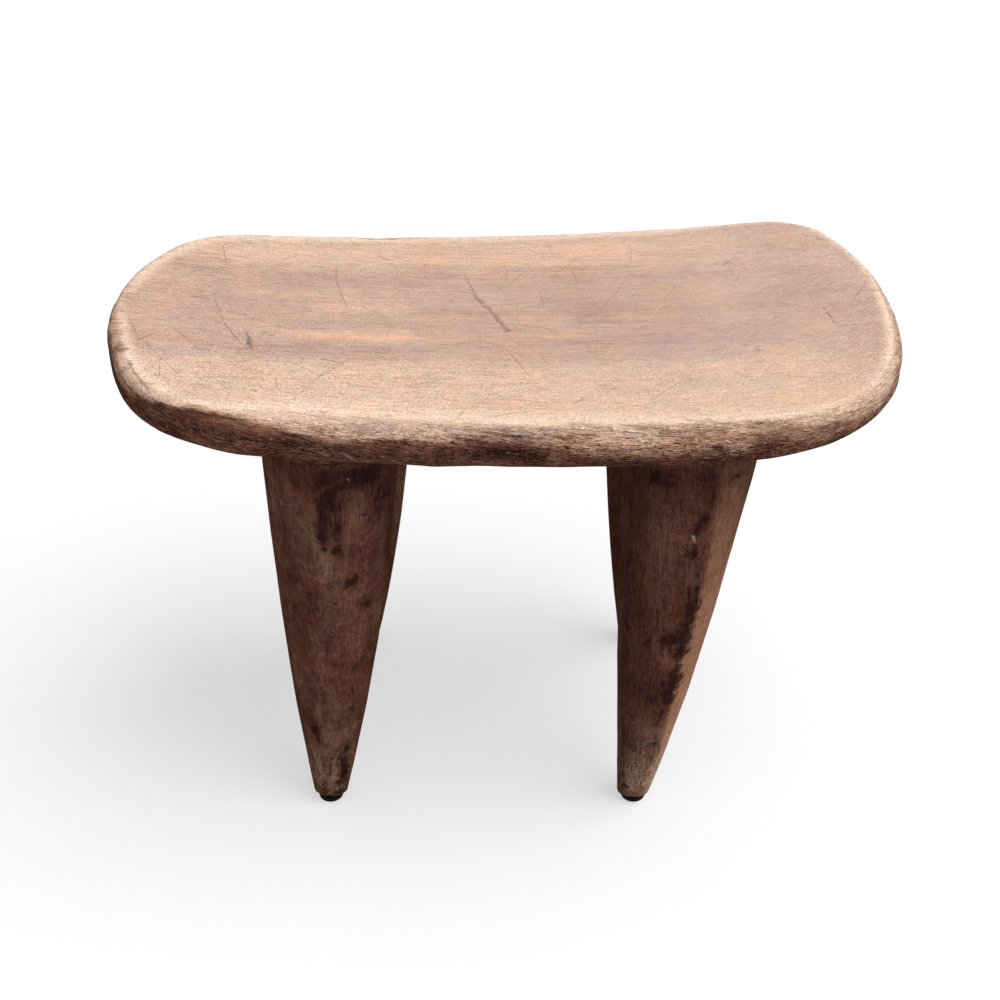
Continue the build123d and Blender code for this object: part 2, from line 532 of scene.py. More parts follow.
def blobs(rows, on_seat=True):
    """Return from 0 to 1 how much the spots that a table lists cover each point.

    A row is the spot's pixel in the photograph, its half length along the grain and its half
    width across in mm, and its strength.
    """
    cover = np.zeros(len(points))
    for centre, (_, _, along, across, strength) in zip(seen_at([row[:2] for row in rows]), rows):
        cover = np.maximum(cover, strength * spot(warped, centre, along, across, on_seat))
    return cover


def scattered(places, along, across, strength, on_seat):
    """Return the same for spots at places drawn at random, each with a size and strength of its own."""
    cover = np.zeros(len(points))
    for place in places:
        size = rng.uniform(0.5, 1.6)
        one = strength * rng.uniform(0.45, 1) * spot(points, place, along * size, across * size, on_seat)
        cover = np.maximum(cover, one)
    return cover


SMOKE = (
    (708, 339, 36, 16, 0.9), (590, 363, 40, 15, 0.85), (680, 363, 28, 6, 0.8), (668, 276, 30, 8, 0.6),
    (622, 304, 20, 8, 0.6), (755, 299, 24, 11, 0.9), (787, 303, 11, 5, 0.9), (733, 262, 13, 12, 0.7),
    (828, 346, 14, 12, 0.7), (183, 351, 24, 8, 1), (298, 354, 34, 6, 0.85), (221, 292, 6, 6, 1),
    (249, 338, 4, 8, 1), (372, 318, 16, 5, 0.6), (426, 327, 16, 6, 0.6), (482, 368, 24, 6, 0.7),
    (560, 372, 40, 8, 0.6), (700, 305, 62, 34, 0.2), (800, 285, 52, 30, 0.3), (850, 320, 28, 40, 0.25),
    (505, 300, 60, 22, 0.35), (420, 290, 50, 16, 0.3), (205, 325, 26, 14, 0.5), (540, 290, 50, 10, 0.5),
    (640, 352, 60, 12, 0.5), (750, 238, 8, 4, 0.6), (851, 266, 4, 4, 0.8), (450, 298, 6, 6, 0.7),
    (335, 279, 16, 8, 0.6), (195, 275, 24, 6, 0.4), (480, 250, 70, 5, 0.35), (640, 330, 8, 14, 0.6),
)
WARM = (
    (382, 338, 52, 5, 1), (330, 335, 36, 6, 0.9), (486, 263, 26, 7, 0.9), (600, 250, 42, 13, 0.8),
    (723, 363, 13, 6, 0.9), (300, 252, 50, 7, 0.6), (430, 262, 52, 6, 0.6), (560, 263, 40, 7, 0.6),
    (250, 385, 50, 16, 0.35), (640, 258, 40, 6, 0.5), (790, 400, 60, 12, 0.4), (830, 240, 20, 10, 0.4),
    (560, 336, 24, 6, 0.6), (170, 300, 16, 14, 0.35), (800, 370, 40, 12, 0.4),
)
SEAT_STAINS = (
    (492, 454, 36, 6, 1), (472, 456, 28, 6, 1), (515, 457, 26, 4, 0.8), (455, 449, 20, 4, 0.5),
    (150, 420, 22, 8, 0.7), (225, 432, 40, 6, 0.5), (345, 452, 22, 6, 0.6), (295, 446, 18, 5, 0.5),
    (395, 452, 40, 8, 0.5), (630, 462, 44, 5, 0.6), (770, 441, 20, 6, 0.6), (818, 432, 14, 6, 0.6),
    (543, 457, 12, 6, 0.7), (700, 458, 30, 4, 0.5), (118, 350, 6, 12, 0.6), (288, 444, 7, 5, 0.9),
    (360, 447, 7, 4, 0.8), (232, 434, 8, 5, 0.6), (722, 452, 6, 7, 0.9), (836, 428, 5, 5, 0.7),
    (190, 408, 12, 5, 0.6), (175, 436, 10, 6, 0.6), (251, 342, 3.5, 6, 0.62),
)
REDDISH = (
    (705, 446, 10, 7, 1), (850, 428, 14, 6, 0.9), (745, 441, 30, 5, 0.6), (250, 426, 14, 6, 0.9),
    (222, 417, 22, 4, 0.7), (640, 455, 30, 4, 0.6), (690, 452, 22, 5, 0.7), (560, 448, 12, 8, 0.7),
    (785, 432, 26, 5, 0.5), (600, 452, 20, 5, 0.5), (300, 450, 20, 5, 0.4), (430, 447, 20, 4, 0.4),
    (660, 450, 16, 5, 0.6), (830, 432, 16, 5, 0.6), (365, 452, 16, 4, 0.4), (195, 425, 24, 6, 0.4),
)
# Grey patches along the shoulder under the crest: painted shade
ASHY = (
    (530, 437, 20, 4, 1), (505, 433, 30, 4, 0.8), (470, 428, 20, 3, 0.5), (660, 432, 24, 4, 0.7),
    (700, 428, 20, 3, 0.8), (640, 426, 30, 2.5, 0.5), (760, 427, 24, 3, 0.6), (820, 424, 14, 3, 0.5),
    (405, 421, 26, 3, 0.3), (360, 430, 30, 4, 0.3), (881, 366, 4, 12, 0.4), (580, 426, 14, 3, 0.6),
    (142, 382, 10, 4, 0.6), (178, 396, 14, 3, 0.5), (330, 424, 24, 3, 0.2), (600, 436, 18, 4, 0.3),
)
# Pale patches on the seat's side: partly wear, partly painted light where the side turns down and away from
# the lamp
SIDE_LIGHTS = (
    (640, 447, 46, 7, 0.55), (600, 444, 30, 6, 0.6), (700, 448, 34, 5, 0.35), (556, 455, 7, 9, 0.9),
    (330, 441, 24, 5, 0.5), (275, 428, 16, 4, 0.5), (826, 432, 26, 9, 0.9), (862, 414, 20, 12, 0.9),
    (885, 390, 10, 10, 0.8), (235, 430, 28, 7, 0.25), (150, 412, 16, 6, 0.3), (420, 447, 24, 5, 0.3),
    (300, 455, 40, 5, 0.3), (112, 330, 8, 26, 0.5),
)
# Dark stains on the legs; the spots at the legs' tops, just under the seat, are the seat's painted shadow
LEG_STAINS = (
    (365, 476, 16, 16, 0.95), (330, 480, 30, 14, 0.75), (326, 504, 16, 10, 0.9), (321, 520, 18, 6.5, 1),
    (322, 540, 14, 4.5, 1), (317, 488, 8, 5, 0.7), (337, 525, 20, 4.5, 1), (340, 550, 12, 4, 0.95),
    (334, 553, 5, 3.5, 0.8), (351, 583, 8, 7, 0.9), (366, 604, 9, 7, 0.85), (373, 616, 7, 4, 0.7),
    (388, 560, 40, 8, 0.45), (380, 500, 24, 14, 0.5), (343, 768, 24, 4.4, 1), (346, 748, 14, 4, 0.9),
    (326, 791, 3, 7, 0.8), (340, 791, 3, 6, 0.8), (341, 781, 8, 3.2, 0.9), (318, 741, 9, 2.8, 0.8),
    (332, 757, 16, 2.4, 0.6), (353, 708, 7, 4, 0.75), (354, 670, 8, 4, 0.7), (322, 690, 6, 3, 0.6),
    (345, 486, 10, 6, 0.8), (335, 757, 6, 2.5, 0.5), (670, 676, 10, 5, 0.75), (661, 713, 10, 4, 0.7),
    (652, 699, 8, 5, 0.9), (654, 745, 8, 3, 0.6), (624, 780, 14, 3, 0.6), (624, 735, 30, 3, 0.6),
    (357, 668, 4, 4, 0.5), (315, 730, 10, 4.4, 1), (313, 713, 4, 3, 0.6), (311, 593, 4, 4, 0.6),
    (294, 604, 3, 3, 0.6), (660, 478, 8, 14, 0.9), (706, 478, 7, 9, 0.8), (703, 520, 12, 6, 0.95),
    (695, 530, 8, 5, 0.9), (712, 500, 16, 5, 0.6), (690, 553, 8, 7, 0.85), (692, 545, 4, 7, 0.7),
    (645, 545, 5, 3, 0.6), (691, 608, 24, 7, 1), (686, 632, 20, 8, 1), (673, 640, 8, 13, 1),
    (681, 652, 10, 7, 1), (676, 680, 18, 7, 0.95), (668, 697, 14, 7, 0.9), (680, 590, 30, 6, 0.4),
    (655, 720, 14, 5, 0.5), (640, 500, 30, 10, 0.4), (650, 640, 46, 10, 0.5), (632, 540, 60, 8, 0.45),
    (645, 690, 30, 5, 0.45), (700, 570, 12, 4, 0.6), (683, 610, 12, 5, 0.6), (676, 650, 22, 5, 0.7),
    (666, 680, 18, 5, 0.6), (335, 500, 36, 8, 0.6), (345, 470, 20, 26, 0.6), (298, 690, 16, 4, 0.4),
    (352, 690, 26, 4, 0.5), (330, 610, 8, 10, 0.3), (318, 627, 5, 3, 0.5), (342, 630, 5, 3, 0.5),
    (626, 640, 60, 4, 0.6), (736, 476, 6, 10, 0.6), (300, 650, 8, 3, 0.3),
)
# Pale patches on the legs: partly wear, partly painted light on edges that turn away from the lamp
LEG_LIGHTS = (
    (324, 563, 20, 5, 0.9), (309, 537, 22, 7, 0.6), (336, 707, 16, 4, 0.7), (320, 713, 12, 4, 0.7),
    (317, 764, 26, 2.6, 0.6), (334, 770, 16, 3, 0.35), (333, 781, 6, 6, 0.5), (326, 745, 20, 3, 0.5),
    (378, 612, 16, 5, 0.5), (356, 515, 20, 7, 0.2), (645, 781, 10, 9, 1), (650, 771, 9, 5, 1),
    (634, 786, 9, 8, 0.8), (340, 590, 40, 12, 0.3), (398, 500, 50, 12, 0.7), (355, 725, 8, 3, 0.5),
    (331, 783, 8, 3, 0.5), (290, 510, 30, 5, 0.3), (335, 600, 34, 10, 0.2), (718, 560, 42, 7, 0.55),
    (708, 600, 34, 8, 0.65), (698, 640, 34, 8, 0.8), (684, 690, 34, 8, 0.85), (668, 735, 26, 8, 0.9),
    (655, 768, 18, 8, 0.8), (640, 765, 26, 8, 0.6), (330, 735, 26, 7, 0.5), (660, 545, 30, 8, 0.25),
    (300, 690, 30, 5, 0.3), (740, 500, 30, 7, 0.3), (345, 735, 20, 5, 0.4), (312, 772, 10, 4, 0.5),
    (655, 590, 26, 7, 0.2), (638, 775, 30, 14, 0.8), (646, 738, 22, 9, 0.5), (322, 690, 30, 3, 0.4),
    (318, 640, 16, 4, 0.35), (300, 580, 30, 4, 0.3), (350, 540, 14, 4, 0.25), (380, 545, 30, 5, 0.25),
    (272, 490, 24, 4, 0.3), (350, 640, 20, 8, 0.2), (333, 752, 22, 3, 0.45), (350, 752, 14, 2.5, 0.4),
    (655, 500, 40, 8, 0.22), (730, 520, 50, 7, 0.4),
)

# The edge between the front right leg's dark front and its pale outer side, from its top to its foot
RIDGE = (
    (718, 490), (714, 530), (709, 560), (700, 600), (686, 640), (681, 660), (672, 700), (667, 720),
    (663, 740), (657, 757), (651, 768),
)

# The worn rim's lines from the seat's left end round its front to the right end, by the photograph's
# pixels: the crest, worn pale and with a painted highlight, where the pale wood turns brown, and where the
# brown turns dark
CREST_LINE = (
    (118, 300), (119, 320), (122, 336), (126, 348), (131, 360), (138, 369), (150, 381), (162, 388),
    (174, 396), (186, 399), (198, 403), (222, 406), (260, 407), (300, 409), (340, 412), (380, 415),
    (440, 417.5), (480, 421), (540, 421.5), (600, 422.5), (660, 423), (720, 422.5), (760, 419.5),
    (800, 417.5), (820, 416), (840, 411.5), (860, 403), (870, 396), (880, 383), (888, 360), (892, 335),
)
PALE_END = (
    (115, 308), (114, 322), (114, 338), (115, 352), (118, 368), (124, 381), (131, 388), (138, 392),
    (150, 398), (162, 402.5), (174, 405.5), (186, 407.5), (198, 409.5), (210, 412), (222, 414.5),
    (240, 417.5), (260, 423), (280, 428), (300, 432.5), (320, 435), (340, 437.5), (360, 438), (380, 436),
    (420, 438.5), (440, 438), (460, 437), (520, 434), (540, 437.5), (560, 438), (580, 436), (600, 438),
    (640, 442), (655, 438), (670, 430), (700, 429), (740, 430), (760, 428), (780, 426), (820, 425),
    (840, 420), (852, 416), (862, 412.5), (870, 409), (880, 404), (887, 397), (893, 386), (896, 370),
)
BROWN_END = (
    (112, 350), (115, 372), (122, 388), (132, 395), (138, 396), (150, 401), (162, 405), (174, 408),
    (186, 410), (198, 412), (210, 414.5), (222, 416.5), (240, 420), (260, 427), (280, 431), (300, 434.5),
    (320, 438), (340, 441), (380, 442), (420, 442.5), (500, 442), (520, 442), (540, 445), (560, 449),
    (580, 455), (600, 458), (640, 458), (660, 456), (680, 455), (700, 456), (740, 452), (760, 445),
    (780, 441), (800, 440), (820, 438), (840, 432), (860, 423), (870, 417), (880, 409), (888, 400),
)


def turn_about(x, y):
    """Return how far round the seat a point lies: the left end is at pi and -pi, the front below 0."""
    return np.arctan2(1.7 * y, x)


def beside_rim(pixels, measure, rear):
    """Return the measure of the nearest part of a rim line, or rear behind."""
    ends = seen_at(pixels)
    turns = np.append(turn_about(ends[:, 0], ends[:, 1]), (0.5, 1.6, 2.6))
    values = np.append(measure(ends), (rear,) * 3)
    return np.interp(turn_about(x, y), turns, values, period=2 * math.pi)


def depth_of(places):
    return dish(places[:, 0]) - places[:, 2]


def gap_of(places):
    return outline_gap(places[:, 0], places[:, 1])


def in_front(ends_at, values, rear):
    """Return values read along the front half of the seat, and rear behind it."""
    return np.where(y < FRONT_ENDS_AT, np.interp(x, ends_at, values), rear)


uneven = np.interp(x, (-290, -240, -160, -110), (1, 0.25, 0.25, 1))
uneven = 1.2 * uneven * field(points, (30, 30, 30), 1, 2)
uneven = uneven + ease(0, 40, y) * 4 * field(points, (60, 60, 60), 0)
inner = 25 * ease(-9, -30, rim_gap) * top
right_rear = ease(120, 200, x) * ease(0, 40, y)
crest_gap = rim_gap - beside_rim(CREST_LINE, gap_of, -9) - 4 * right_rear
crest_width = in_front((-290, -200, -150, 180, 240, 290), (3.5, 5, 9, 8, 3.6, 3), 6)
fades_at = (-290, -262, -235, -190, -160, -120, -70, 45, 90, 290)
keep(
    pale_gap=beside_rim(PALE_END, depth_of, 6) - below + uneven + inner,
    brown_gap=beside_rim(BROWN_END, depth_of, 11) - below + uneven + inner,
    pale_fade=in_front(fades_at, (5, 3, 1.2, 0.9, 2.2, 4, 2.4, 2.4, 4.5, 4.5), 4.5),
    brown_fade=in_front(fades_at, (6, 4, 2, 1, 1.8, 3.5, 2.4, 2.4, 4.5, 5), 5),
    ragged=1 / in_front((-290, -250, -235, -160, -110, 290), (1.8, 2.4, 3, 2.5, 1.2, 1.2), 1),
    crest_gap=np.clip(crest_gap, -60, 30),
    crest_width=crest_width - 3 * right_rear,
)
# Painted highlights on the top, brighter towards its front and rear rims where the light falls more strongly
edge_glow = ease(-50, -84, y) * np.interp(x, (-290, -235, 215, 270), (0.2, 1, 1, 0.3)) * top
rear_glow = ease(72, 112, y + 8 * field(points, (90, 30, 60), 2)) * top
rear_glow = rear_glow * (1 + 0.5 * ease(-60, -130, x))
# The shoulder's mask: its sloping face is painted pale, partly wear and partly painted light against the
# shade of its slope
shoulder = (1 - ease(0.86, 0.97, normals[:, 2])) * ease(0.8, 2.6, below) * off_leg
strong_at = (-290, -160, -60, -20, 20, 200, 262, 290)
shoulder = shoulder * np.interp(x, strong_at, (0.9, 0.6, 0.6, 0.8, 1, 1, 0.8, 0.7))
on_side = ease(0.97, 0.86, normals[:, 2]) * off_leg * (1 - 0.7 * under)
hatched = top * ease(110, 190, x + 0.4 * np.abs(y))
keep(on_leg=leg, on_top=top, on_side=on_side, shoulder=shoulder)
keep(hatched=hatched, edge_glow=edge_glow, rear_glow=rear_glow)

# How strong the wood's finest texture is: weakest at the top's right and strongest on the side and legs
grit = np.interp(x, (-290, -120, 0, 130, 230, 290), (1.15, 0.95, 0.78, 0.55, 0.6, 1))
grit = grit + 0.5 * ease(-40, -90, y) + 0.25 * ease(60, 120, y)
grit = grit + on_side * (1.45 + 1.25 * ease(7, 15, below) - grit)
grit = grit * (1 - on_side * np.interp(x, (-265, -215, 150, 230), (0.45, 0, 0, 0.35)))
grit = grit + leg * (1.45 + 1.3 * ease(100, 30, z) - grit)

drifts = ease(0.15, 0.6, field(points, (120, 16, 80), 1, 2)) * ease(-12, -50, rim_gap)
smoke = np.maximum(blobs(SMOKE), 0.45 * drifts) * top
stain = np.maximum(blobs(SEAT_STAINS) * off_leg, blobs(LEG_STAINS, False) * leg)
# Pale spots, partly wear and partly painted light
light = np.maximum(blobs(SIDE_LIGHTS) * off_leg, blobs(LEG_LIGHTS, False) * leg)

# The sides that the photograph doesn't show are as marked as those that it does
hidden = (normals @ unit(np.array([CAMERA_AT]))[0] < 0.1) | (y > FRONT_ENDS_AT)
hidden_leg = np.where(hidden, leg, 0) + 1e-9
hidden_seat = np.where(hidden, np.clip(side + 0.6 * under, 0, 1), 0) + 1e-9
# Of these places, the first 46 on the legs and 55 on the seat become stains, and the last 50 and 35 lights
leg_places = points[pick(hidden_leg, 130)]
seat_places = points[pick(hidden_seat, 90)]
off_top = 1 - leg - top
stain = np.maximum(stain, scattered(leg_places[:46], 13, 4.5, 0.7, False) * leg)
light = np.maximum(light, scattered(leg_places[80:], 34, 6, 0.5, False) * leg)
stain = np.maximum(stain, scattered(seat_places[:55], 26, 8, 0.8, True) * off_top)
light = np.maximum(light, scattered(seat_places[55:], 30, 8, 0.5, True) * off_top)
keep(grit=grit, smoke=smoke, stain=stain, light=light)
keep(warm=blobs(WARM) * top, reddish=blobs(REDDISH) * off_leg, ashy=blobs(ASHY) * off_leg)

# Feet are painted paler, partly wear and partly painted light from the floor. Painted shade darkens the legs'
# roots under the seat and the right legs' inner sides, and a little the front left leg's inner side. The
# front right one's outer side is painted pale, partly wear and partly painted light from the right.
root = ease(-16, 4, -np.abs(below - SEAT_THICKNESS - 6)) * np.clip(leg + under, 0, 1)
dark_right = ease(0.1, -0.9, normals[:, 0]) * (x > 0)
dark_left = ease(0.55, 0.95, normals[:, 0]) * (x < 0) * (y < 0) * ease(340, 240, z)
ridge_ends = seen_at(RIDGE)[::-1]
angle, number = nearest_leg(points)
ridge_angle = np.interp(z, ridge_ends[:, 2], nearest_leg(ridge_ends)[0])
pale_side = ease(-0.06, 0.07, angle - ridge_angle) * ease(1.25, 0.75, angle)
keep(
    foot_wear=ease(120, 12, z) * leg,
    root=np.maximum(root, 0.4 * ease(90, 40, below) * leg),
    dark_side=np.maximum(dark_right, 0.35 * dark_left) * leg,
    pale_side=pale_side * (number == FRONT_RIGHT) * leg * ease(400, 120, z),
)

# The grain runs along the seat and down the legs. On the side the carving marks follow the rim, and run down
# to the right at the front left.
wavy = 5 * field(points, (150, 60, 90), 0, 2)
leg_wavy = 3 * field(points, (40, 40, 110), 1, 2)
front_outline = outline[outline[:, 1] < 0]
front_turns = turn_about(front_outline[:, 0], front_outline[:, 1])
lengths = np.append(0, np.cumsum(np.hypot(*np.diff(front_outline, axis=0).T)))
lengths = lengths - np.interp(0, front_outline[:, 0], lengths)
along_side = np.interp(-np.abs(turn_about(x, y)), front_turns, lengths)
down_right = np.interp(along_side, (-330, -120, 60, 330), (-44, -18, 0, 8))
down_right = down_right + 16 * ease(-50, 50, y)
keep(
    seat_grain=np.stack((x, y + 0.035 * x + wavy, z + 0.5 * wavy), axis=1),
    rim_grain=np.stack((along_side, rim_gap + wavy * 0.3, z + down_right), axis=1),
    leg_grain=np.stack((z, x + leg_wavy, y + leg_wavy), axis=1),
)

# Scratches: a row is both ends by the photograph's pixels, the half width in mm and the tone, from -1 dark
# to 1 light. The short ones of tone 0.7 to 1 are painted glints. Each is kept as the distance across it, how
# surely a point belongs to it, and its tone.
SCRATCHES = (
    (465, 275, 476, 297, 1.2, -0.5), (476, 297, 495, 315, 2.1, -0.65), (495, 315, 507, 331, 2.2, -0.65),
    (506, 323, 543, 327, 0.6, -0.6), (543, 327, 557, 332, 0.6, -0.5), (191, 267, 259, 267, 0.45, -0.7),
    (223, 246, 226, 263, 0.5, -0.6), (215, 300, 225, 324, 0.5, -0.6), (225, 324, 238, 339, 0.6, -0.8),
    (238, 334, 247, 332, 0.8, -0.5), (247, 332, 251, 348, 1.2, -0.7), (139, 339, 156, 332, 0.8, -0.6),
    (156, 332, 174, 323, 0.7, 0.4), (175, 329, 201, 350, 0.5, -0.5), (143, 339, 158, 355, 0.5, -0.7),
    (158, 355, 179, 374, 0.6, -0.6), (129, 318, 139, 339, 0.6, -0.5), (246, 286, 303, 285, 0.4, -0.5),
    (345, 361, 320, 376, 0.4, -0.8), (320, 376, 294, 398, 0.4, -0.7), (239, 351, 263, 388, 0.4, -0.3),
    (378, 274, 400, 278, 0.6, -0.5), (400, 277, 463, 275, 0.5, -0.5), (336, 265, 336, 280, 0.7, -0.4),
    (336, 280, 347, 307, 0.6, -0.5), (364, 307, 386, 317, 0.5, -0.5), (378, 256, 391, 261, 0.6, -0.6),
    (391, 261, 403, 275, 0.4, -0.5), (418, 307, 447, 298, 0.5, 0.4), (478, 338, 527, 357, 0.4, -0.6),
    (507, 350, 527, 373, 0.7, -0.4), (450, 372, 500, 376, 0.4, -0.4), (540, 292, 543, 307, 0.6, -0.4),
    (493, 382, 487, 398, 0.4, -0.4), (323, 359, 335, 361, 0.9, -0.8), (572, 263, 552, 276, 0.4, -0.6),
    (571, 269, 577, 282, 0.6, -0.4), (624, 281, 617, 291, 0.5, -0.5), (617, 291, 600, 309, 0.4, -0.4),
    (675, 286, 662, 303, 0.5, -0.4), (662, 303, 649, 321, 0.5, 0.5), (678, 383, 652, 399, 0.4, -0.5),
    (581, 388, 595, 411, 0.5, 0.5), (576, 402, 586, 397, 0.9, -0.6), (775, 317, 778, 317, 1, -0.8),
    (740, 323, 758, 325, 0.5, -0.5), (823, 307, 838, 326, 0.8, -0.6), (838, 326, 879, 323, 0.7, -0.6),
    (828, 317, 835, 320, 0.7, 0.5), (854, 297, 864, 285, 0.5, -0.4), (805, 253, 832, 249, 0.4, 0.5),
    (724, 264, 734, 258, 0.9, -0.6), (843, 336, 846, 337, 0.9, 0.8), (861, 344, 862, 345, 0.7, 0.8),
    (779, 302, 796, 305, 0.7, -0.4), (160, 369, 170, 367, 0.6, 0.6), (305, 528, 310, 536, 0.4, 0.6),
    (310, 536, 318, 541, 0.4, 0.6), (301, 560, 309, 575, 0.5, 0.4), (309, 575, 324, 582, 0.5, 0.4),
    (324, 582, 345, 574, 0.5, 0.4), (326, 600, 335, 604, 0.5, -0.8), (291, 601, 295, 607, 0.4, -0.8),
    (305, 590, 312, 596, 0.4, -0.8), (389, 482, 390, 511, 0.4, -0.8), (281, 500, 282, 503, 0.8, 0.9),
    (348, 479, 349, 480, 0.5, 0.7), (399, 484, 400, 486, 0.6, 0.7), (642, 539, 649, 550, 0.5, -0.8),
    (693, 537, 694, 541, 1.2, 1), (684, 548, 700, 560, 0.6, -0.6), (669, 520, 666, 560, 0.4, -0.4),
    (186, 409, 206, 414, 0.8, -0.7), (206, 414, 240, 420, 0.9, -0.55), (240, 420, 270, 426, 0.6, -0.3),
    (270, 427, 284, 433, 0.8, -0.35), (284, 433, 298, 437, 0.9, -0.5), (298, 437, 325, 448, 0.8, -0.7),
    (128, 361, 134, 372, 1, -0.6), (134, 372, 147, 388, 1.1, -0.6), (282, 411, 312, 415, 0.5, -0.5),
    (300, 413, 355, 424, 0.5, -0.5), (330, 416, 392, 425, 0.5, -0.5), (350, 416, 384, 422, 0.6, -0.6),
    (290, 421, 340, 431, 0.5, -0.4), (412, 422, 470, 431, 0.5, -0.5), (500, 426, 560, 431, 0.5, -0.5),
    (440, 434, 500, 436, 0.7, -0.6), (480, 431, 540, 439, 0.9, -0.8), (560, 429, 640, 433, 0.5, -0.5),
    (620, 425, 660, 428, 0.6, -0.4), (690, 420, 740, 424, 0.9, -0.35), (740, 424, 790, 425, 0.7, -0.35),
    (470, 447, 520, 452, 0.7, -0.7), (340, 464, 430, 466, 0.8, -0.8), (262, 450, 340, 459, 0.6, -0.5),
    (345, 455, 352, 459, 0.6, 0.8), (610, 437, 612, 447, 0.6, 0.7), (703, 441, 705, 449, 0.9, 0.9),
    (340, 747, 344, 783, 0.7, -0.6), (304, 640, 306, 668, 0.4, -0.4), (652, 674, 646, 704, 0.6, -0.5),
)
CHANNELS = 4
SURE_WITHIN, GONE_PAST = 4.6, 8
FAR_ACROSS = 9
marks = np.zeros((CHANNELS, len(points), 3), np.float32)
marks[:, :, 0] = FAR_ACROSS
taken = np.zeros((CHANNELS, len(points)), bool)


def add_scratch(start, end, half_width, tone):
    """Keep a scratch in the first channel that has no other beside it."""
    middle = (start + end) / 2
    out = unit(slope(middle[None, :])[0])[0]
    along = end - start
    length = max(np.linalg.norm(along), 0.5)
    along = along / length
    away = points - middle
    beside = away @ np.cross(out, along)
    past_end = np.maximum(np.abs(away @ along) - length / 2, 0)
    near = (np.hypot(past_end, beside) < GONE_PAST + 3) & (np.abs(away @ out) < 9 + length * 0.1)
    sure = near * (1 - ease(SURE_WITHIN, GONE_PAST, np.abs(beside)))
    sure = sure * (1 - ease(0.3, min(2.2 + 0.4 * length, 5), past_end))
    touched = sure > 0
    for channel in range(CHANNELS):
        if not (taken[channel] & touched).any():
            marks[channel, touched, 0] = beside[touched] / half_width
            marks[channel, touched, 1] = sure[touched]
            marks[channel, touched, 2] = tone * sure[touched]
            taken[channel] |= touched
            return


def add_random_scratches(weight, count, length, half_width, lean):
    """Add scratches at random places, leaning this much towards the direction lean."""
    chosen = pick(weight, count)
    for place, out in zip(points[chosen], normals[chosen]):
        direction = np.cross(out, rng.normal(size=3))
        direction = direction / np.linalg.norm(direction) + np.array(lean)
        direction = direction - out * (direction @ out)
        direction = direction / np.linalg.norm(direction)
        half = direction * 0.5 * length * rng.uniform(0.3, 1.6)
        tone = rng.choice((-0.5, -0.35, -0.2, 0.35))
        add_scratch(place - half, place + half, half_width * rng.uniform(0.7, 1.4), tone)


starts = seen_at([row[:2] for row in SCRATCHES])
ends = seen_at([row[2:4] for row in SCRATCHES])
for start, end, row in zip(starts, ends, SCRATCHES):
    add_scratch(start, end, *row[4:])
add_random_scratches(top + 1e-9, 70, 15, 0.35, (0.6, 0, 0))
add_random_scratches(hidden_leg, 90, 10, 0.4, (0, 0, 0.5))
add_random_scratches(side + 0.5 * under + 1e-9, 80, 7, 0.4, (0.9, 0, 0))
keep(**{f"marks_{channel}": marks[channel] for channel in range(CHANNELS)})


# Materials
def rgba(colour):
    return colour if isinstance(colour, bpy.types.NodeSocket) else (*colour, 1)


